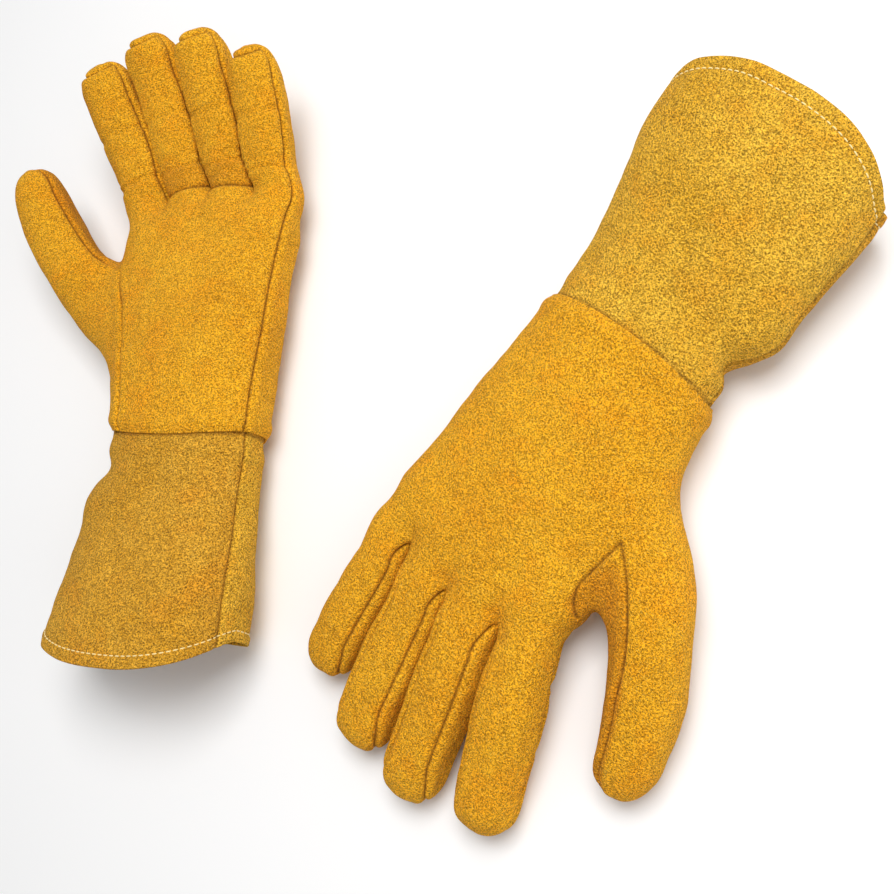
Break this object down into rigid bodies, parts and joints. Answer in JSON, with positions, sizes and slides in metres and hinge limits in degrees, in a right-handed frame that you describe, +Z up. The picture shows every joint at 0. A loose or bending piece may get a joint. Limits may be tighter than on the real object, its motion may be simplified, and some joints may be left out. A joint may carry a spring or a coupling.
{
  "type": "welding gloves",
  "caption": "Pair of long-cuffed suede welding gloves with sewn fingers, inset thumbs, seam gussets and flared gauntlet cuffs.",
  "frame": {"origin": "centre of the pair's footprint, on the surface the gloves lie on", "axes": "+Z up from the surface; the left glove's fingers point along +Y; X runs across the pair, with the right glove at +X"},
  "size_m": [0.48, 0.4023, 0.0705],
  "materials": {
    "hand_leather": "golden orange suede",
    "cuff_leather": "mustard split suede, coarser nap",
    "lining": "soft brushed cotton",
    "thread": "pale cream sewing thread"
  },
  "bodies": {
    "right_hand": {"right_hand_back_lining": "lining", "right_hand_back_panel": "hand_leather", "right_palm_lining": "lining", "right_palm_panel": "hand_leather"},
    "right_index": {"right_index_back": "hand_leather", "right_index_fourchette": "hand_leather", "right_index_front": "hand_leather", "right_index_lining": "lining"},
    "right_middle": {"right_middle_back": "hand_leather", "right_middle_fourchette_inner": "hand_leather", "right_middle_fourchette_outer": "hand_leather", "right_middle_front": "hand_leather", "right_middle_lining": "lining"},
    "right_ring": {"right_ring_back": "hand_leather", "right_ring_fourchette_inner": "hand_leather", "right_ring_fourchette_outer": "hand_leather", "right_ring_front": "hand_leather", "right_ring_lining": "lining"},
    "right_little": {"right_little_back": "hand_leather", "right_little_fourchette": "hand_leather", "right_little_front": "hand_leather", "right_little_lining": "lining"},
    "right_thumb": {"right_thumb_back": "hand_leather", "right_thumb_front": "hand_leather", "right_thumb_lining": "lining"},
    "right_cuff": {"right_cuff_back": "cuff_leather", "right_cuff_front": "cuff_leather", "right_hem_thread": "thread"},
    "left_hand": {"left_hand_back_lining": "lining", "left_hand_back_panel": "hand_leather", "left_palm_lining": "lining", "left_palm_panel": "hand_leather"},
    "left_index": {"left_index_back": "hand_leather", "left_index_fourchette": "hand_leather", "left_index_front": "hand_leather", "left_index_lining": "lining"},
    "left_middle": {"left_middle_back": "hand_leather", "left_middle_fourchette_inner": "hand_leather", "left_middle_fourchette_outer": "hand_leather", "left_middle_front": "hand_leather", "left_middle_lining": "lining"},
    "left_ring": {"left_ring_back": "hand_leather", "left_ring_fourchette_inner": "hand_leather", "left_ring_fourchette_outer": "hand_leather", "left_ring_front": "hand_leather", "left_ring_lining": "lining"},
    "left_little": {"left_little_back": "hand_leather", "left_little_fourchette": "hand_leather", "left_little_front": "hand_leather", "left_little_lining": "lining"},
    "left_thumb": {"left_thumb_back": "hand_leather", "left_thumb_front": "hand_leather", "left_thumb_lining": "lining"},
    "left_cuff": {"left_cuff_back": "cuff_leather", "left_cuff_front": "cuff_leather", "left_hem_thread": "thread"}
  },
  "joints": [
    {"name": "right_index_knuckle", "type": "hinge", "parent": "right_hand", "child": "right_index", "pos_m": [0.10211, -0.10545, 0.0135], "axis": [0.9703, -0.2419, 0], "range_deg": [-5, 45]},
    {"name": "right_middle_knuckle", "type": "hinge", "parent": "right_hand", "child": "right_middle", "pos_m": [0.07636, -0.09429, 0.0132], "axis": [0.9336, -0.3584, 0], "range_deg": [-5, 45]},
    {"name": "right_ring_knuckle", "type": "hinge", "parent": "right_hand", "child": "right_ring", "pos_m": [0.05421, -0.0785, 0.0134], "axis": [0.8988, -0.4384, 0], "range_deg": [-5, 45]},
    {"name": "right_little_knuckle", "type": "hinge", "parent": "right_hand", "child": "right_little", "pos_m": [0.03582, -0.05857, 0.0141], "axis": [0.848, -0.5299, 0], "range_deg": [-5, 45]},
    {"name": "right_thumb_root", "type": "hinge", "parent": "right_hand", "child": "right_thumb", "pos_m": [0.14688, -0.07117, 0.01191], "axis": [0.5736, 0.8192, 0], "range_deg": [-4, 30]},
    {"name": "right_wrist", "type": "hinge", "parent": "right_hand", "child": "right_cuff", "pos_m": [0.13591, 0.01952, 0.05091], "axis": [0.8192, -0.5736, 0], "range_deg": [0, 15]},
    {"name": "left_glove_apart", "type": "slide", "parent": "right_hand", "child": "left_hand", "axis": [-1, 0, 0], "range_m": [0, 0.1]},
    {"name": "left_index_knuckle", "type": "hinge", "parent": "left_hand", "child": "left_index", "pos_m": [-0.15227, 0.10071, 0.0392], "axis": [0.9455, 0.3256, 0], "range_deg": [-5, 45]},
    {"name": "left_middle_knuckle", "type": "hinge", "parent": "left_hand", "child": "left_middle", "pos_m": [-0.12477, 0.10634, 0.0395], "axis": [0.9659, 0.2588, 0], "range_deg": [-5, 45]},
    {"name": "left_ring_knuckle", "type": "hinge", "parent": "left_hand", "child": "left_ring", "pos_m": [-0.09757, 0.10611, 0.0393], "axis": [0.9816, 0.1908, 0], "range_deg": [-5, 45]},
    {"name": "left_little_knuckle", "type": "hinge", "parent": "left_hand", "child": "left_little", "pos_m": [-0.07107, 0.10033, 0.0386], "axis": [0.9945, 0.1045, 0], "range_deg": [-5, 45]},
    {"name": "left_thumb_root", "type": "hinge", "parent": "left_hand", "child": "left_thumb", "pos_m": [-0.16927, 0.04695, 0.0402], "axis": [0, 1, 0], "range_deg": [-4, 30]},
    {"name": "left_wrist", "type": "hinge", "parent": "left_hand", "child": "left_cuff", "pos_m": [-0.10827, -0.02105, 0.05091], "axis": [-1, 0, 0], "range_deg": [0, 15]}
  ]
}
